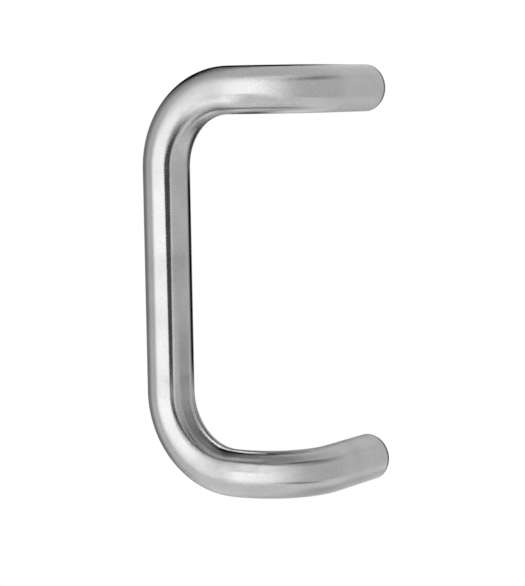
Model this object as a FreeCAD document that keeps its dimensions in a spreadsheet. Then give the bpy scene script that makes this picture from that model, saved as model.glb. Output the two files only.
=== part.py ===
"""Offset door pull, bent from one round stainless bar, in millimetres.

The door's face is the plane Y = 0 and the bar stands out from it towards -Y, with +Z up. The
origin lies on the door's face, midway between the two mounting centres. From each mounting
centre a short post runs straight out, turns sideways through a right angle into an arm along
-X, and turns again through a right angle into the vertical grip. The grip then hangs clear of
the door and to one side of its fixings, away from the door's edge.
"""

import FreeCAD, Part
import math
import os

import Sketcher

NODE = "pull_bar"
PARTS_FOLDER = "parts"
NEAR = 1e-6

# Each driving dimension: its name, its size in millimetres, or degrees for an angle, and what it measures.
DRIVING_DIMENSIONS = (
    ("bar_diameter", 25.4, "round bar, 1 inch"),
    ("mounting_centres", 203.2, "between the two fixings, 8 inches"),
    ("standoff", 76.2, "from the door's face to the grip's axis, 3 inches"),
    ("grip_bend_radius", 41.275, "axis radius of the bend between grip and arm, 1 5/8 inches"),
    ("arm_straight", 1.5875, "straight bar left between the two bends of an arm, 1/16 inch"),
    ("post_bend_radius", 36.5125, "axis radius of the bend between arm and post, 1 7/16 inches"),
    ("rim_depth", 0.5, "broken edge round each foot, off the bar's radius"),
    ("rim_length", 1.2, "the same edge, along the bar"),
    ("tap_drill_diameter", 7.94, "hole tapped 3/8-16, as drilled at 5/16 inch"),
    ("tap_drill_depth", 25.4, "full-diameter depth of each drilled hole, 1 inch"),
    ("drill_point_angle", 118.0, "cone that the drill leaves at the bottom"),
    ("countersink_diameter", 8.9, "broken edge at the mouth of each tapped hole"),
    ("countersink_angle", 90.0, "included angle of that mouth"),
)

# Heights on the door's face, as expressions for the sketches.
UPPER_CENTRE = "Dims.mounting_centres / 2"
LOWER_CENTRE = "-Dims.mounting_centres / 2"


def add_dimensions(doc):
    """Fills a sheet with the driving dimensions, one named cell each."""
    sheet = doc.addObject("Spreadsheet::Sheet", "Dims")
    for row, (alias, size, meaning) in enumerate(DRIVING_DIMENSIONS, start=1):
        sheet.set(f"A{row}", meaning)
        sheet.set(f"B{row}", str(size))
        sheet.setAlias(f"B{row}", alias)
    doc.recompute()
    return sheet


def add_sketch(body, name, role, offset=None):
    """A sketch on one of the body's origin planes, moved along its normal by an expression."""
    plane = next(p for p in body.Origin.OriginFeatures if p.Role == role)
    sketch = body.newObject("Sketcher::SketchObject", name)
    sketch.AttachmentSupport = [(plane, "")]
    sketch.MapMode = "FlatFace"
    if offset:
        sketch.setExpression("AttachmentOffset.Base.z", offset)
    return sketch


def point(x, y):
    """A point in a sketch's own plane."""
    return FreeCAD.Vector(x, y, 0)


def circle(x, y, radius):
    """A circle in a sketch's own plane."""
    return Part.Circle(point(x, y), FreeCAD.Vector(0, 0, 1), radius)


def arc(x, y, radius, first, last):
    """An arc in a sketch's own plane, anticlockwise between two angles in degrees."""
    return Part.ArcOfCircle(circle(x, y, radius), math.radians(first), math.radians(last))


def line(x1, y1, x2, y2):
    """A straight stretch in a sketch's own plane."""
    return Part.LineSegment(point(x1, y1), point(x2, y2))


def dimension(sketch, name, kind, targets, size, expression):
    """Adds a dimension to a sketch and ties it to the sheet."""
    index = sketch.addConstraint(Sketcher.Constraint(kind, *targets, size))
    sketch.renameConstraint(index, name)
    sketch.setExpression(f"Constraints.{name}", expression)


def constrain(sketch, *constraints):
    """Adds constraints that hold a sketch's shape and have no size."""
    for constraint in constraints:
        sketch.addConstraint(Sketcher.Constraint(*constraint))


def draw_grip_path(body, sheet):
    """The bar's axis in the grip's own plane: arm, bend, grip, bend and arm, from top to bottom."""
    half = sheet.mounting_centres / 2
    radius = sheet.grip_bend_radius
    arm_end = -sheet.post_bend_radius
    arm_start = arm_end - sheet.arm_straight
    grip = arm_start - radius
    sketch = add_sketch(body, "GripPath", "XZ_Plane", "Dims.standoff")
    top_arm, top_bend, straight, low_bend, low_arm = sketch.addGeometry(
        [
            line(arm_end, half, arm_start, half),
            arc(arm_start, half - radius, radius, 90, 180),
            line(grip, half - radius, grip, radius - half),
            arc(arm_start, radius - half, radius, 180, 270),
            line(arm_start, -half, arm_end, -half),
        ]
    )
    constrain(
        sketch,
        ("Tangent", top_arm, 2, top_bend, 1),
        ("Tangent", top_bend, 2, straight, 1),
        ("Tangent", straight, 2, low_bend, 1),
        ("Tangent", low_bend, 2, low_arm, 1),
        ("Vertical", straight),
        ("Horizontal", top_arm),
        ("Equal", top_bend, low_bend),
        ("Symmetric", top_arm, 1, low_arm, 2, -1),
    )
    dimension(sketch, "bend", "Radius", (top_bend,), radius, "Dims.grip_bend_radius")
    dimension(
        sketch, "arm", "DistanceX", (top_arm, 2, top_arm, 1), sheet.arm_straight, "Dims.arm_straight"
    )
    dimension(
        sketch, "post_bend", "DistanceX", (top_arm, 1, -1, 1), -arm_end, "Dims.post_bend_radius"
    )
    dimension(
        sketch, "centres", "DistanceY", (low_arm, 2, top_arm, 1), 2 * half, "Dims.mounting_centres"
    )
    return sketch


def draw_post_path(body, sheet, name, height):
    """The bar's axis in plan at one mounting centre's height: a quarter bend, then the post."""
    radius = sheet.post_bend_radius
    bend_end = radius - sheet.standoff
    sketch = add_sketch(body, name, "XY_Plane", height)
    bend, post = sketch.addGeometry(
        [arc(-radius, bend_end, radius, 270, 360), line(0, bend_end, 0, 0)]
    )
    constrain(
        sketch,
        ("Tangent", bend, 2, post, 1),
        ("Coincident", post, 2, -1, 1),
        ("Vertical", post),
        ("Vertical", bend, 1, bend, 3),
    )
    dimension(sketch, "bend", "Radius", (bend,), radius, "Dims.post_bend_radius")
    dimension(sketch, "standoff", "DistanceY", (bend, 1, -1, 1), sheet.standoff, "Dims.standoff")
    return sketch


def draw_foot_circles(body, sheet, name, alias, centres):
    """Circles of one diameter on the door's face, at the mounting centres that centres lists."""
    half = sheet.mounting_centres / 2
    radius = getattr(sheet, alias) / 2
    sketch = add_sketch(body, name, "XZ_Plane")
    for centre in centres:
        upper = centre == "upper"
        ring = sketch.addGeometry(circle(0, half if upper else -half, radius))
        origin_to_centre = (-1, 1, ring, 3) if upper else (ring, 3, -1, 1)
        constrain(sketch, ("PointOnObject", ring, 3, -2))
        dimension(sketch, f"{centre}_size", "Diameter", (ring,), 2 * radius, f"Dims.{alias}")
        dimension(sketch, f"{centre}_height", "DistanceY", origin_to_centre, half, UPPER_CENTRE)
    return sketch


def bend_bar(doc, body, sheet):
    """Sweeps the round bar along its whole axis, from the upper foot to the lower one."""
    upper = draw_post_path(body, sheet, "UpperPostPath", UPPER_CENTRE)
    grip = draw_grip_path(body, sheet)
    lower = draw_post_path(body, sheet, "LowerPostPath", LOWER_CENTRE)
    section = draw_foot_circles(body, sheet, "BarSection", "bar_diameter", ["upper"])
    axis = body.newObject("PartDesign::SubShapeBinder", "BarAxis")
    axis.Support = [(upper, ""), (grip, ""), (lower, "")]
    doc.recompute()
    bar = body.newObject("PartDesign::AdditivePipe", "BentBar")
    bar.Profile = section
    bar.Spine = (axis, [f"Edge{number}" for number in range(1, len(axis.Shape.Edges) + 1)])
    doc.recompute()
    length = sum(edge.Length for edge in axis.Shape.Edges)
    volume = length * math.pi * sheet.bar_diameter**2 / 4
    if abs(bar.Shape.Volume - volume) > volume / 1000:
        raise RuntimeError("the bent bar's volume isn't its section times its length")
    return bar


def break_rims(doc, body, sheet, bar):
    """Bevels the outer edge of both feet, where the bar was cut off square, longer than deep."""
    rims = [
        f"Edge{number}"
        for number, edge in enumerate(bar.Shape.Edges, start=1)
        if edge.BoundBox.YMin > -NEAR and abs(edge.Curve.Radius - sheet.bar_diameter / 2) < NEAR
    ]
    chamfer = body.newObject("PartDesign::Chamfer", "RimChamfer")
    chamfer.Base = (bar, rims)
    chamfer.ChamferType = "Two distances"
    chamfer.setExpression("Size", "Dims.rim_length")
    chamfer.setExpression("Size2", "Dims.rim_depth")
    doc.recompute()
    flat = sheet.bar_diameter / 2 - sheet.rim_depth
    flats = [
        edge
        for edge in chamfer.Shape.Edges
        if edge.BoundBox.YMin > -NEAR and abs(edge.Curve.Radius - flat) < NEAR
    ]
    if len(flats) != len(rims):
        raise RuntimeError("the bevels round the feet aren't as deep as they should be")
    return chamfer


def drill_feet(doc, body, sheet, before):
    """Drills each foot for its tapped hole, with a countersunk mouth and a drill point."""
    centres = draw_foot_circles(
        body, sheet, "HoleCentres", "tap_drill_diameter", ["upper", "lower"]
    )
    doc.recompute()
    hole = body.newObject("PartDesign::Hole", "TappedHoles")
    hole.Profile = centres
    hole.Threaded = False
    hole.Reversed = True
    hole.DepthType = "Dimension"
    hole.DrillPoint = "Angled"
    hole.HoleCutType = "Countersink"
    hole.HoleCutCustomValues = True
    hole.setExpression("Diameter", "Dims.tap_drill_diameter")
    hole.setExpression("Depth", "Dims.tap_drill_depth")
    hole.setExpression("DrillPointAngle", "Dims.drill_point_angle")
    hole.setExpression("HoleCutDiameter", "Dims.countersink_diameter")
    hole.setExpression("HoleCutCountersinkAngle", "Dims.countersink_angle")
    doc.recompute()
    drilled = 2 * sheet.tap_drill_depth * math.pi * sheet.tap_drill_diameter**2 / 4
    if before.Shape.Volume - hole.Shape.Volume < drilled:
        raise RuntimeError("the two holes took out less than their drilled volume")
    return hole


def write_part(doc, body):
    """Writes the finished bar, once every feature and its solid have proved sound."""
    failed = [o.Name for o in doc.Objects if {"Invalid", "Error"} & set(o.State)]
    if failed:
        raise RuntimeError(f"these failed to rebuild: {', '.join(failed)}")
    shape = body.Shape
    if shape.isNull() or not shape.isValid() or len(shape.Solids) != 1:
        raise RuntimeError(f"{body.Label} isn't one sound solid")
    os.makedirs(PARTS_FOLDER, exist_ok=True)
    shape.exportStep(os.path.join(PARTS_FOLDER, f"{body.Label}.step"))
    size = shape.optimalBoundingBox()
    print(
        f"{body.Label}: {size.XLength:.2f} x {size.YLength:.2f} x {size.ZLength:.2f} mm,"
        f" {shape.Volume / 1000:.1f} cm3, {len(shape.Faces)} faces"
    )


def main():
    """Builds the pull as one body and writes it."""
    doc = FreeCAD.newDocument("offset_pull")
    sheet = add_dimensions(doc)
    body = doc.addObject("PartDesign::Body", "PullBar")
    body.Label = NODE
    bar = bend_bar(doc, body, sheet)
    rims = break_rims(doc, body, sheet, bar)
    drill_feet(doc, body, sheet, rims)
    write_part(doc, body)


main()
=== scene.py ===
"""Offset door pull in satin stainless steel, bent from one round bar.

The pull stands in the frame of its solid: the door's face is the plane Y = 0, the bar stands out
towards -Y with +Z up, and the origin lies midway between the two mounting centres. One closed mesh
takes the place of the plain solid, at the same size, with the brushed skin of the bar, the turned
faces of its two feet and the threads cut into them.
"""

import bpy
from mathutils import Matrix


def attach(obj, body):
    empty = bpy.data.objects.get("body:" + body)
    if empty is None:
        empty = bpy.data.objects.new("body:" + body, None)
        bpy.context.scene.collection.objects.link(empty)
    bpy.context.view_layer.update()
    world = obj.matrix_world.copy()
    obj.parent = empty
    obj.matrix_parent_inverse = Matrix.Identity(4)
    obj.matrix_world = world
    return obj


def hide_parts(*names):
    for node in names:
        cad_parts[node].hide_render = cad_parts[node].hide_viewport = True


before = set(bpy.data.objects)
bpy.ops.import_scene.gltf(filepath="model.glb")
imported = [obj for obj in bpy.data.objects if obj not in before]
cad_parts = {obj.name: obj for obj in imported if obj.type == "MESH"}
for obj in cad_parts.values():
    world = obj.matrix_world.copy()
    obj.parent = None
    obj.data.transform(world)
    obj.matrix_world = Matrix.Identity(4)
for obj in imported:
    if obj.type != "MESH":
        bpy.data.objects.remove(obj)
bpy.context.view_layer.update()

import logging
import math
from collections.abc import Callable
from dataclasses import dataclass, field
from enum import Enum

import bmesh
import bpy
from mathutils import Matrix, Quaternion, Vector

log = logging.getLogger("offset_pull")

NODE = "pull_bar"
BODY = "root"
BAR_SPACE = "bar_space"
ACROSS_LINES = "across_lines"

FRAME_WIDTH = 525
FRAME_HEIGHT = 586

PULL_CENTRE = (-0.045, -0.05, 0.0)


# Shader graphs


@dataclass(frozen=True)
class Value:
    """One output of a node, on which arithmetic adds Math nodes."""

    graph: "Graph"
    socket: bpy.types.NodeSocket

    def math(self, operation: str, first: "Value | float", second: "Value | float") -> "Value":
        """Adds a Math node for two numbers, and returns its result."""
        return self.graph.node("ShaderNodeMath", {"operation": operation}, {0: first, 1: second})

    def __add__(self, other: "Value | float") -> "Value":
        """Self plus other."""
        return self.math("ADD", self, other)

    def __radd__(self, other: float) -> "Value":
        """Other plus self."""
        return self.math("ADD", other, self)

    def __sub__(self, other: "Value | float") -> "Value":
        """Self minus other."""
        return self.math("SUBTRACT", self, other)

    def __rsub__(self, other: float) -> "Value":
        """Other minus self."""
        return self.math("SUBTRACT", other, self)

    def __mul__(self, other: "Value | float") -> "Value":
        """Self times other."""
        return self.math("MULTIPLY", self, other)

    def __rmul__(self, other: float) -> "Value":
        """Other times self."""
        return self.math("MULTIPLY", other, self)

    def __or__(self, other: "Value | float") -> "Value":
        """The larger of two masks, so that either one covers."""
        return self.math("MAXIMUM", self, other)

    def scaled(self, factors: tuple[float, float, float]) -> "Value":
        """Self as a vector, each part of it times a factor of its own."""
        return self.graph.node("ShaderNodeVectorMath", {"operation": "MULTIPLY"}, {0: self, 1: factors})

    def part(self, axis: str) -> "Value":
        """One part of self as a vector, by its axis."""
        return self.graph.node("ShaderNodeSeparateXYZ", {}, {0: self}, "XYZ".index(axis))

    def leaned(self, way: "Value", slope: "Value") -> "Value":
        """Self as a direction, leaned another way by a slope and made a unit long again."""
        push = self.graph.node("ShaderNodeVectorMath", {"operation": "SCALE"}, {0: way, "Scale": slope})
        total = self.graph.node("ShaderNodeVectorMath", {"operation": "ADD"}, {0: self, 1: push})
        return self.graph.node("ShaderNodeVectorMath", {"operation": "NORMALIZE"}, {0: total})


class Graph:
    """The node tree of one material or of the world."""

    def __init__(self, tree: bpy.types.NodeTree) -> None:
        """Takes a node tree and empties it."""
        self.tree = tree
        tree.nodes.clear()

    def node(
        self,
        kind: str,
        settings: dict[str, object],
        inputs: dict[int | str, object],
        output: int | str = 0,
    ) -> Value:
        """Adds one node.

        Args:
            kind: the node's type.
            settings: its own properties, set before its sockets.
            inputs: the value or the link of each socket, by index or name.
            output: the socket to return.

        Returns:
            The wrapped output.
        """
        made = self.tree.nodes.new(kind)
        for name, setting in settings.items():
            setattr(made, name, setting)
        for key, given in inputs.items():
            if isinstance(given, Value):
                self.tree.links.new(given.socket, made.inputs[key])
            else:
                made.inputs[key].default_value = given
        return Value(self, made.outputs[output])

    def stored(self, name: str) -> Value:
        """A vector that the mesh stores at each of its points."""
        settings = {"attribute_type": "GEOMETRY", "attribute_name": name}
        return self.node("ShaderNodeAttribute", settings, {}, "Vector")

    def noise(self, vector: Value, detail: float, roughness: float = 0.5) -> Value:
        """Fractal noise of a scaled place, about 0.5 on average."""
        settings = {"noise_dimensions": "3D"}
        inputs = {"Vector": vector, "Scale": 1.0, "Detail": detail, "Roughness": roughness}
        return self.node("ShaderNodeTexNoise", settings, inputs, "Fac")

    def surface(self, shader: Value, kind: str = "ShaderNodeOutputMaterial") -> None:
        """Ends the graph with a shader."""
        made = self.tree.nodes.new(kind)
        self.tree.links.new(shader.socket, made.inputs["Surface"])


# Finishes


def grey(level: float) -> tuple[float, float, float, float]:
    """A neutral colour."""
    return (level, level, level, 1.0)


class Grain(Enum):
    """Which way the tool that finished a surface went over it."""

    ROUND_THE_BAR = "round the bar"
    ROUND_THE_FACE = "round the face"


@dataclass(frozen=True)
class SteelFinish:
    """Bare stainless steel with the fine lines of an abrasive belt or a turning tool.

    The lines are noise in the space of the straight bar, drawn out in the direction in which the
    tool went and fine across it, so they follow every bend. Each leans the surface across itself.
    """

    name: str
    grain: Grain
    light: float = 0.495
    dark: float = 0.255
    roughness: float = 0.13
    roughness_swing: float = 0.05
    line_pitch: float = 0.00006
    line_slope: float = 0.22
    wander_pitch: float = 0.0005
    wander_length: float = 0.02
    wander_turns: float = 5.0
    score_pitch: float = 0.00045
    score_length: float = 0.0016
    score_slope: float = 0.07
    patch: float = 0.018

    def make(self) -> bpy.types.Material:
        """Makes the material.

        Returns:
            The finished material.
        """
        material = bpy.data.materials.new(self.name)
        material.use_nodes = True
        graph = Graph(material.node_tree)
        place = graph.stored(BAR_SPACE)
        if self.grain is Grain.ROUND_THE_FACE:
            place = self._spread_from_axis(graph, place)
        wander = graph.noise(place.scaled(self._stretch(self.wander_pitch, self.wander_length)), 1.0)
        scores = graph.noise(place.scaled(self._stretch(self.score_pitch, self.score_length)), 2.0)
        patches = graph.noise(place.scaled((1.0 / self.patch,) * 3), 2.0)
        lines = place.part("X") * (1.0 / self.line_pitch) + wander * self.wander_turns
        even = graph.node("ShaderNodeMath", {"operation": "FRACT"}, {0: lines})
        slope = (even - 0.5) * (2.0 * self.line_slope) + (scores - 0.5) * self.score_slope
        facing = graph.node("ShaderNodeNewGeometry", {}, {}, "Normal")
        tone = graph.node(
            "ShaderNodeMix",
            {"data_type": "RGBA"},
            {"Factor": (scores + patches) * 0.5, "A": grey(self.dark), "B": grey(self.light)},
            "Result",
        )
        roughness = self.roughness + self.roughness_swing * ((scores + patches) * 0.5 - 0.5)
        steel = graph.node(
            "ShaderNodeBsdfPrincipled",
            {},
            {
                "Base Color": tone,
                "Metallic": 1.0,
                "Roughness": roughness,
                "Normal": facing.leaned(graph.stored(ACROSS_LINES), slope),
            },
        )
        graph.surface(steel)
        return material

    @staticmethod
    def _stretch(pitch: float, length: float) -> tuple[float, float, float]:
        """Factors that make noise fine across the lines and long along them."""
        return (1.0 / pitch, 1.0 / length, 1.0 / length)

    @staticmethod
    def _spread_from_axis(graph: Graph, place: Value) -> Value:
        """The same space with the distance from the bar's axis first, for lines round a face."""
        flat = place.scaled((0.0, 1.0, 1.0))
        spread = graph.node("ShaderNodeVectorMath", {"operation": "LENGTH"}, {0: flat}, "Value")
        return graph.node(
            "ShaderNodeCombineXYZ", {}, {"X": spread, "Y": place.part("Y"), "Z": place.part("Z")}
        )


# The bar


RingShape = Callable[[float], tuple[float, float]]


@dataclass(frozen=True)
class Station:
    """One place on the bar's axis, with the frame in which its ring is drawn."""

    centre: Vector
    heading: Vector
    side: Vector
    along: float

    def at(self, radius: float, angle: float, deeper: float = 0.0) -> Vector:
        """A point off the axis.

        Args:
            radius: its distance from the axis.
            angle: its angle round the axis.
            deeper: how far it lies ahead of the station.

        Returns:
            The point in the frame of the pull.
        """
        third = self.heading.cross(self.side)
        outward = self.side * math.cos(angle) + third * math.sin(angle)
        return self.centre + self.heading * deeper + outward * radius


@dataclass
class BarAxis:
    """The bar's centre line, laid out by running and turning from the upper foot to the lower."""

    centre: Vector
    heading: Vector
    side: Vector
    step: float = 0.0014
    along: float = 0.0
    stations: list[Station] = field(default_factory=list)

    def __post_init__(self) -> None:
        """Sets down the first station."""
        self._mark(self.centre, self.heading, self.side)

    def _mark(self, centre: Vector, heading: Vector, side: Vector) -> None:
        """Adds a station."""
        self.stations.append(Station(centre.copy(), heading.copy(), side.copy(), self.along))

    def run(self, length: float) -> None:
        """Goes straight ahead."""
        count = max(1, round(length / self.step / 2))
        start = self.centre
        begun = self.along
        for index in range(1, count + 1):
            self.centre = start + self.heading * (length * index / count)
            self.along = begun + length * index / count
            self._mark(self.centre, self.heading, self.side)

    def turn(self, radius: float, towards: Vector) -> None:
        """Turns through a right angle.

        Args:
            radius: the bend's radius on the bar's axis.
            towards: the heading after the bend.
        """
        count = max(8, round(radius * math.pi / 2 / self.step))
        pivot = self.centre + towards * radius
        arm = self.centre - pivot
        axle = self.heading.cross(towards)
        heading, side, begun = self.heading, self.side, self.along
        for index in range(1, count + 1):
            angle = math.pi / 2 * index / count
            spin = Quaternion(axle, angle)
            self.centre = pivot + spin @ arm
            self.heading = spin @ heading
            self.side = spin @ side
            self.along = begun + radius * angle
            self._mark(self.centre, self.heading, self.side)


class RingMesh:
    """A mesh built ring by ring, which stores two vectors at each point for its finish.

    One is the point's place in the space of the straight bar, and the other the direction across
    the lines of the finish.
    """

    def __init__(self) -> None:
        """Starts an empty mesh."""
        self.mesh = bmesh.new()
        self.space = self.mesh.verts.layers.float_vector.new(BAR_SPACE)
        self.across = self.mesh.verts.layers.float_vector.new(ACROSS_LINES)

    def ring(
        self, station: Station, shape: RingShape, count: int, sense: float = 1.0, face: bool = False
    ) -> list[bmesh.types.BMVert]:
        """Adds a closed ring of points about a station.

        Args:
            station: the ring's place on the bar's axis.
            shape: gives a radius and a depth for an angle.
            count: how many points go round.
            sense: 1 where the station's heading is that of the whole bar, and -1 against it.
            face: whether the ring lies on a foot's face, where the lines run round the axis.

        Returns:
            The ring's points in order.
        """
        ring = []
        for index in range(count):
            angle = math.tau * index / count
            radius, deeper = shape(angle)
            point = self.mesh.verts.new(station.at(radius, angle, deeper))
            along = station.along + sense * deeper
            point[self.space] = Vector((along, radius * math.cos(angle), sense * radius * math.sin(angle)))
            point[self.across] = station.at(1.0, angle) - station.centre if face else station.heading
            ring.append(point)
        return ring

    def bridge(self, first: list[bmesh.types.BMVert], second: list[bmesh.types.BMVert], slot: int) -> None:
        """Joins two rings of the same count with smooth faces."""
        for point, after, other, other_after in zip(
            first, first[1:] + first[:1], second, second[1:] + second[:1]
        ):
            face = self.mesh.faces.new((point, after, other_after, other))
            face.smooth = True
            face.material_index = slot

    def close(self, ring: list[bmesh.types.BMVert], station: Station, tip: float, sense: float) -> None:
        """Closes a ring with a cone, whose tip lies ahead of the station."""
        centre = self.mesh.verts.new(station.at(0.0, 0.0, tip))
        centre[self.space] = Vector((station.along + sense * tip, 0.0, 0.0))
        centre[self.across] = station.heading
        for point, after in zip(ring, ring[1:] + ring[:1]):
            face = self.mesh.faces.new((point, after, centre))
            face.smooth = True
            face.material_index = 1

    @staticmethod
    def crease(ring: list[bmesh.types.BMVert]) -> None:
        """Marks the edges round a ring as sharp."""
        for point, after in zip(ring, ring[1:] + ring[:1]):
            for edge in point.link_edges:
                if edge.other_vert(point) is after:
                    edge.smooth = False

    def finish(self, name: str) -> bpy.types.Object:
        """Turns every face outward and makes the object.

        Args:
            name: the object's name.

        Returns:
            The object, linked to the scene.
        """
        bmesh.ops.recalc_face_normals(self.mesh, faces=self.mesh.faces)
        data = bpy.data.meshes.new(name)
        self.mesh.to_mesh(data)
        self.mesh.free()
        piece = bpy.data.objects.new(name, data)
        bpy.context.scene.collection.objects.link(piece)
        return piece


@dataclass
class PullBar:
    """The pull: one bent bar with a chamfered, drilled and tapped foot at each end."""

    diameter: float = 0.0254
    centres: float = 0.2032
    standoff: float = 0.0762
    grip_bend: float = 0.041275
    arm_straight: float = 0.0015875
    post_bend: float = 0.0365125
    rim_depth: float = 0.0005
    rim_length: float = 0.0012
    # Width of the skin band beside each bevel that is painted near-black as shade.
    shade_band: float = 0.0012
    mouth_diameter: float = 0.0089
    drill_diameter: float = 0.00794
    drill_depth: float = 0.0254
    drill_point: float = 118.0
    thread_major: float = 0.009525
    thread_pitch: float = 0.0254 / 16
    thread_depth: float = 0.0222
    thread_flat: float = 0.25
    thread_flank: float = 0.625
    face_ring: float = 0.65
    around: int = 128
    steps_per_pitch: int = 10
    finish: SteelFinish = SteelFinish("brushed_steel_bar", Grain.ROUND_THE_BAR)
    foot_finish: SteelFinish = SteelFinish(
        "turned_steel_foot", Grain.ROUND_THE_FACE, line_pitch=0.0002, line_slope=0.2, roughness=0.24
    )
    # Near-black steel on each bevel and the skin band beside it: painted shade, the dark line at the foot's
    # edge.
    shade_rim_finish: SteelFinish = SteelFinish(
        "painted_shade_rim", Grain.ROUND_THE_FACE, light=0.11, dark=0.07, line_slope=0.1, roughness=0.3
    )

    def axis(self) -> BarAxis:
        """Lays out the bar's axis.

        Returns:
            The axis, from the upper foot to the lower one.
        """
        out, up = Vector((0, -1, 0)), Vector((0, 0, 1))
        sideways = Vector((-1, 0, 0))
        post = self.standoff - self.post_bend
        grip = self.centres - 2 * self.grip_bend
        line = BarAxis(Vector((0, 0, self.centres / 2)), out, up)
        line.run(post)
        line.turn(self.post_bend, sideways)
        line.run(self.arm_straight)
        line.turn(self.grip_bend, -up)
        line.run(grip)
        line.turn(self.grip_bend, -sideways)
        line.run(self.arm_straight)
        line.turn(self.post_bend, -out)
        line.run(post)
        return line

    def build(self) -> bpy.types.Object:
        """Makes the mesh of the whole pull, dresses it and puts it in the place of the solid.

        Returns:
            The finished piece.
        """
        mesh = RingMesh()
        stations = self.axis().stations
        skin = self.diameter / 2
        rings = [
            mesh.ring(station, lambda angle: (skin, 0.0), self.around)
            for station in self._within_rims(stations)
        ]
        # Slot 2, the band beside each bevel, is near-black painted shade.
        mesh.bridge(rings[0], rings[1], 2)
        for first, second in zip(rings[1:-1], rings[2:-1]):
            mesh.bridge(first, second, 0)
        mesh.bridge(rings[-2], rings[-1], 2)
        first, last = stations[0], stations[-1]
        self._cut_foot(mesh, first, rings[0], 1.0)
        inward = Station(last.centre, -last.heading, last.side, last.along)
        self._cut_foot(mesh, inward, rings[-1], -1.0)
        piece = mesh.finish("offset_pull_bar")
        for finish in (self.finish, self.foot_finish, self.shade_rim_finish):
            piece.data.materials.append(finish.make())
        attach(piece, BODY)
        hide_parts(NODE)
        return piece

    def _within_rims(self, stations: list[Station]) -> list[Station]:
        """The stations between the bevels, with one at each edge of the band of painted shade beside a
        bevel.
        """
        first, last = stations[0], stations[-1]
        cuts = (self.rim_length, self.rim_length + self.shade_band)
        start = [
            Station(first.centre + first.heading * cut, first.heading, first.side, cut) for cut in cuts
        ]
        end = [
            Station(last.centre - last.heading * cut, last.heading, last.side, last.along - cut)
            for cut in reversed(cuts)
        ]
        between = [s for s in stations if start[-1].along < s.along < end[0].along]
        return [*start, *between, *end]

    def _cut_foot(
        self, mesh: RingMesh, foot: Station, skin: list[bmesh.types.BMVert], sense: float
    ) -> None:
        """Closes one end: bevel, turned face, tapped hole and drill point.

        Args:
            mesh: the mesh of the bar.
            foot: the station at the foot, heading into the bar.
            skin: the last ring of the bar's skin there.
            sense: 1 where that heading is the bar's own, and -1 against it.
        """
        count = self.around
        if sense < 0:
            skin = [skin[-index % count] for index in range(count)]
        outer = self.diameter / 2 - self.rim_depth
        mouth = self.mouth_diameter / 2
        drill = self.drill_diameter / 2
        lead = mouth - drill
        rings = [skin]
        face = ((outer, 0.0), (self.face_ring * outer, 0.0), (mouth, 0.0), (drill, lead))
        for radius, depth in face:
            rings.append(mesh.ring(foot, lambda angle: (radius, depth), count, sense, True))
        steps = round((self.thread_depth - lead) / self.thread_pitch * self.steps_per_pitch)
        for step in range(1, steps + 1):
            depth = lead + (self.thread_depth - lead) * step / steps
            rings.append(mesh.ring(foot, self._thread_shape(depth, lead), count, sense))
        bottom = mesh.ring(foot, lambda angle: (drill, self.drill_depth), count, sense)
        rings.append(bottom)
        # The bevel also takes slot 2, the near-black painted shade.
        mesh.bridge(rings[0], rings[1], 2)
        for first, second in zip(rings[1:], rings[2:]):
            mesh.bridge(first, second, 1)
        cone = drill / math.tan(math.radians(self.drill_point / 2))
        mesh.close(bottom, foot, self.drill_depth + cone, sense)
        for sharp in (rings[0], rings[1], rings[3], rings[4], bottom):
            mesh.crease(sharp)

    def _thread_shape(self, depth: float, lead: float) -> RingShape:
        """The tapped wall's radius for an angle, at one depth below the foot's face."""
        drill = self.drill_diameter / 2
        height = self.thread_major / 2 - drill
        fade_in = min(1.0, (depth - lead) / self.thread_pitch)
        fade_out = min(1.0, max(0.0, (self.thread_depth - depth) / (2 * self.thread_pitch)))

        def shape(angle: float) -> tuple[float, float]:
            """Radius and depth at one angle."""
            phase = (depth / self.thread_pitch + angle / math.tau) % 1.0
            flank = 1.0 - abs(2.0 * phase - 1.0)
            profile = min(1.0, max(0.0, (flank - self.thread_flat) / self.thread_flank))
            return drill + height * profile * min(fade_in, fade_out), depth

        return shape


# The studio


def direction(azimuth: float, elevation: float) -> Vector:
    """The way to look from the pull: azimuth 0 faces -Y and 90 faces +X, both in degrees."""
    turn, rise = math.radians(azimuth), math.radians(elevation)
    return Vector(
        (math.sin(turn) * math.cos(rise), -math.cos(turn) * math.cos(rise), math.sin(rise))
    )


@dataclass(frozen=True)
class PhotoCamera:
    """The camera of the photograph."""

    azimuth: float = 31.757
    elevation: float = 5.358
    distance: float = 1.07329
    aim_right: float = -3.1055
    aim_up: float = -0.5287
    roll: float = -0.9594
    focal_pixels: float = 1951.92
    sensor: float = 36.0

    def build(self) -> bpy.types.Object:
        """Sets the camera up and makes it the scene's own.

        Returns:
            The camera.
        """
        back = direction(self.azimuth, self.elevation)
        forward = -back
        right = forward.cross(Vector((0, 0, 1))).normalized()
        up = right.cross(forward)
        forward += math.tan(math.radians(self.aim_right)) * right
        forward += math.tan(math.radians(self.aim_up)) * up
        forward.normalize()
        right = forward.cross(Vector((0, 0, 1))).normalized()
        up = right.cross(forward)
        turn = math.radians(self.roll)
        level = right * math.cos(turn) + up * math.sin(turn)
        tall = up * math.cos(turn) - right * math.sin(turn)
        data = bpy.data.cameras.new("photo_camera")
        data.sensor_width = self.sensor
        data.lens = self.focal_pixels * self.sensor / max(FRAME_WIDTH, FRAME_HEIGHT)
        data.clip_start, data.clip_end = 0.01, 50.0
        camera = bpy.data.objects.new("photo_camera", data)
        bpy.context.scene.collection.objects.link(camera)
        basis = Matrix((level, tall, -forward)).transposed()
        camera.matrix_world = Matrix.Translation(back * self.distance) @ basis.to_4x4()
        bpy.context.scene.camera = camera
        return camera


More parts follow.
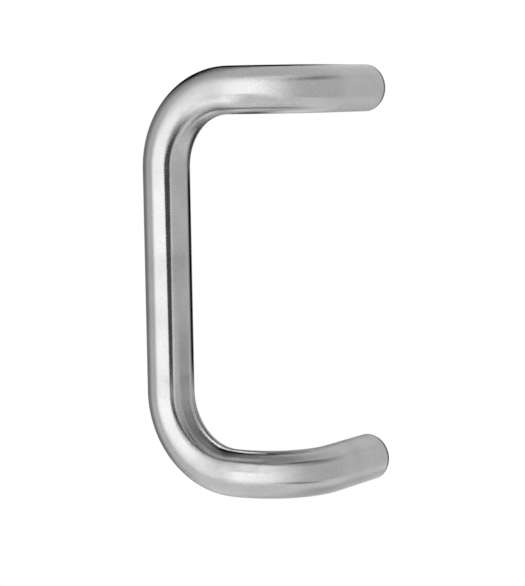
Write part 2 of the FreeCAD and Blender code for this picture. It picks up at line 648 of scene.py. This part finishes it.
@dataclass(frozen=True)
class Card:
    """A flat card that the steel mirrors, pale or dark, with edges that fade out.

    It lies on a line from a point on or near the pull, and only the side that faces this point
    shows. Its fades are shares of its width or height: at the side of lower azimuth, at the other
    side, at the bottom and at the top.
    """

    name: str
    azimuth: float
    elevation: float
    width: float
    height: float
    level: float
    fades: tuple[float, float, float, float] = (0.1, 0.1, 0.1, 0.1)
    distance: float = 1.6
    roll: float = 0.0
    about: tuple[float, float, float] = PULL_CENTRE

    def build(self) -> bpy.types.Object:
        """Hangs the card, out of the camera's own sight.

        Returns:
            The card.
        """
        mesh = bpy.data.meshes.new(self.name)
        x, y = self.width / 2, self.height / 2
        mesh.from_pydata([(-x, -y, 0), (x, -y, 0), (x, y, 0), (-x, y, 0)], [], [(0, 1, 2, 3)])
        mesh.materials.append(self._material())
        card = bpy.data.objects.new(self.name, mesh)
        bpy.context.scene.collection.objects.link(card)
        aim = direction(self.azimuth, self.elevation)
        card.location = Vector(self.about) + aim * self.distance
        facing = aim.to_track_quat("Z", "Y") @ Quaternion((0, 0, 1), math.radians(self.roll))
        card.rotation_euler = facing.to_euler()
        card.visible_camera = False
        card.visible_shadow = False
        card.visible_diffuse = False
        return card

    def _material(self) -> bpy.types.Material:
        """Its own light, mixed with clear towards the edges."""
        material = bpy.data.materials.new(self.name)
        material.use_nodes = True
        graph = Graph(material.node_tree)
        place = graph.node("ShaderNodeTexCoord", {}, {}, "Generated")
        across, up = place.part("X"), place.part("Y")
        low, high, bottom, top = self.fades
        inner_side = graph.node("ShaderNodeNewGeometry", {}, {}, "Backfacing")
        cover = inner_side * self._rise(graph, across, low) * self._rise(graph, 1.0 - across, high)
        cover = cover * self._rise(graph, up, bottom) * self._rise(graph, 1.0 - up, top)
        glow = graph.node("ShaderNodeEmission", {}, {"Color": grey(1.0), "Strength": self.level})
        clear = graph.node("ShaderNodeBsdfTransparent", {}, {})
        graph.surface(graph.node("ShaderNodeMixShader", {}, {0: cover, 1: clear, 2: glow}))
        return material

    @staticmethod
    def _rise(graph: Graph, place: Value, share: float) -> Value:
        """Nothing at an edge of the card, rising smoothly to one over a share of its size."""
        return graph.node(
            "ShaderNodeMapRange",
            {"interpolation_type": "SMOOTHSTEP"},
            {"Value": place, "From Min": 0.0, "From Max": share, "To Min": 0.0, "To Max": 1.0},
        )


# Each card: name, azimuth, elevation, width, height, level, fades, distance, roll, and the point
# that it is hung from. Those that hang close to the bar are seen only from the stretch they face.

FAR_CARDS = (
    Card("key_card", 8.0, 0.0, 1.65, 1.95, 2.3, (0.246, 0.41, 0.2, 0.49), 0.6, about=(-0.045, -0.05, 0.33)),
    Card("left_card", -106.0, 10.0, 1.06, 1.5, 0.33, (0.1, 0.43, 0.1, 0.2), 0.56),
    Card("top_card", -131.0, 38.0, 0.45, 0.4, 0.0, (0.15, 0.15, 0.15, 0.15), 0.5),
    Card("crown_card", 45.0, 58.0, 0.9, 0.35, 1.55, (0.4, 0.4, 0.4, 0.4), 0.9),
    Card("arc_card", 118.0, 43.0, 1.96, 0.56, 0.3, (0.15, 0.7, 0.45, 0.45), 1.4, -14.0),
    Card("rear_shade_card", -152.0, -6.0, 1.1, 0.75, 0.45, (0.25, 0.25, 0.35, 0.35), 1.0),
    Card("floor_card", 0.0, -90.0, 2.8, 2.8, 1.3, (0.15, 0.15, 0.15, 0.15), 0.73),
)

GRIP_CARDS = (
    Card(
        "slit_card", 39.3, 10.0, 0.0215, 0.165, 0.1, (0.03, 0.03, 0.04, 0.04), 0.06,
        about=(-0.0794, -0.0762, -0.0152),
    ),
    Card(
        "back_card", 162.0, 0.0, 0.05, 0.15, 0.0, (0.42, 0.1, 0.15, 0.15), 0.06,
        about=(-0.0794, -0.0762, 0.0),
    ),
    Card(
        "right_low_card", 105.0, 0.0, 0.09, 0.08, 0.72, (0.3, 0.3, 0.1, 0.45), 0.06,
        about=(-0.0794, -0.0762, -0.05),
    ),
)

UPPER_ARM_CARDS = (
    Card(
        "left_lid_card", 0.0, -90.0, 0.036, 0.07, 2.1, (0.2, 0.3, 0.2, 0.2), 0.012,
        about=(-0.046, -0.122, 0.092),
    ),
    Card(
        "right_lid_card", 0.0, -90.0, 0.05, 0.07, 1.2, (0.3, 0.3, 0.2, 0.2), 0.012,
        about=(-0.014, -0.122, 0.091),
    ),
)

LOWER_ARM_CARDS = (
    Card(
        "under_lid_card", 0.0, 90.0, 0.068, 0.07, 1.85, (0.06, 0.9, 0.2, 0.2), 0.012,
        about=(-0.022, -0.122, -0.092),
    ),
    Card(
        "shelf_under_card", 0.0, 90.0, 0.105, 0.12, 0.5, (0.3, 0.1, 0.1, 0.1), 0.11,
        about=(0.0075, -0.076, -0.09),
    ),
    Card(
        "bend_light_card", 0.0, 90.0, 0.052, 0.006, 3.8, (0.15, 0.1, 0.15, 0.2), 0.012, -44.0,
        about=(-0.0655, -0.037, -0.062),
    ),
    Card(
        "arm_light_card", 0.0, 90.0, 0.036, 0.009, 3.8, (0.2, 0.2, 0.1, 0.2), 0.012,
        about=(-0.0665, -0.0325, -0.062),
    ),
    Card(
        "bend_dark_card", 0.0, 90.0, 0.042, 0.011, 0.0, (0.15, 0.1, 0.2, 0.05), 0.012, -42.0,
        about=(-0.0615, -0.0545, -0.062),
    ),
    Card(
        "arm_dark_card", 0.0, 90.0, 0.056, 0.012, 0.0, (0.15, 0.25, 0.2, 0.05), 0.012,
        about=(-0.047, -0.051, -0.062),
    ),
    Card(
        "inner_shade_card", 0.0, 90.0, 0.05, 0.03, 0.38, (0.3, 0.2, 0.3, 0.1), 0.012,
        about=(-0.0425, -0.072, -0.062),
    ),
    Card(
        "arm_strip_card", 0.0, 90.0, 0.1, 0.014, 0.1, (0.3, 0.2, 0.3, 0.3), 0.012,
        about=(-0.03, -0.106, -0.062),
    ),
    Card(
        "post_strip_card", 0.0, 90.0, 0.085, 0.014, 0.2, (0.2, 0.2, 0.3, 0.3), 0.012, 61.7,
        about=(0.027, -0.065, -0.062),
    ),
    Card(
        "low_streak_card", 0.0, -90.0, 0.085, 0.018, 0.1, (0.25, 0.25, 0.35, 0.35), 0.012, -73.8,
        about=(0.0435, -0.0925, -0.123),
    ),
    Card(
        "post_under_card", 0.0, -90.0, 0.16, 0.2, 0.8, (0.2, 0.3, 0.25, 0.2), 0.012,
        about=(-0.025, 0.015, -0.148),
    ),
)


@dataclass(frozen=True)
class Studio:
    """A plain white studio: a soft key, its cards, a pale floor and a white surround."""

    fill: float = 0.9
    floor_level: float = -0.75
    floor_radius: float = 1.5
    floor_tone: float = 0.9
    floor_roughness: float = 0.8
    cards: tuple[Card, ...] = FAR_CARDS + GRIP_CARDS + UPPER_ARM_CARDS + LOWER_ARM_CARDS

    def build(self) -> None:
        """Builds every card and surface of the studio."""
        for piece in self.cards:
            piece.build()
        self._lay_floor()
        self._light_world()

    def _lay_floor(self) -> None:
        """Lays the floor, a pale round sheet that takes the pull's shadow."""
        mesh = bmesh.new()
        bmesh.ops.create_circle(mesh, cap_ends=True, radius=self.floor_radius, segments=96)
        data = bpy.data.meshes.new("floor")
        mesh.to_mesh(data)
        mesh.free()
        floor = bpy.data.objects.new("floor", data)
        bpy.context.scene.collection.objects.link(floor)
        floor.location = (PULL_CENTRE[0], PULL_CENTRE[1], self.floor_level)
        material = bpy.data.materials.new("pale_floor")
        material.use_nodes = True
        graph = Graph(material.node_tree)
        finish = {"Base Color": grey(self.floor_tone), "Roughness": self.floor_roughness}
        graph.surface(graph.node("ShaderNodeBsdfPrincipled", {}, finish))
        data.materials.append(material)

    def _light_world(self) -> None:
        """Surrounds the pull with white, a little dimmer for the light that falls on dull surfaces."""
        world = bpy.data.worlds.new("studio")
        world.use_nodes = True
        bpy.context.scene.world = world
        graph = Graph(world.node_tree)
        seen = (
            graph.node("ShaderNodeLightPath", {}, {}, "Is Camera Ray")
            | graph.node("ShaderNodeLightPath", {}, {}, "Is Glossy Ray")
            | graph.node("ShaderNodeLightPath", {}, {}, "Is Transmission Ray")
        )
        dim = graph.node("ShaderNodeBackground", {}, {"Color": grey(1.0), "Strength": self.fill})
        white = graph.node("ShaderNodeBackground", {}, {"Color": grey(1.0), "Strength": 1.0})
        surround = graph.node("ShaderNodeMixShader", {}, {0: seen, 1: dim, 2: white})
        graph.surface(surround, "ShaderNodeOutputWorld")


def main() -> None:
    """Builds the pull, the camera and the studio, and logs the pull's face count."""
    logging.basicConfig(level=logging.INFO, format="%(message)s")
    bpy.context.scene.view_settings.view_transform = "Standard"
    PhotoCamera().build()
    piece = PullBar().build()
    log.info("%s: %d faces", piece.name, len(piece.data.polygons))
    Studio().build()


if __name__ == "__main__":
    main()
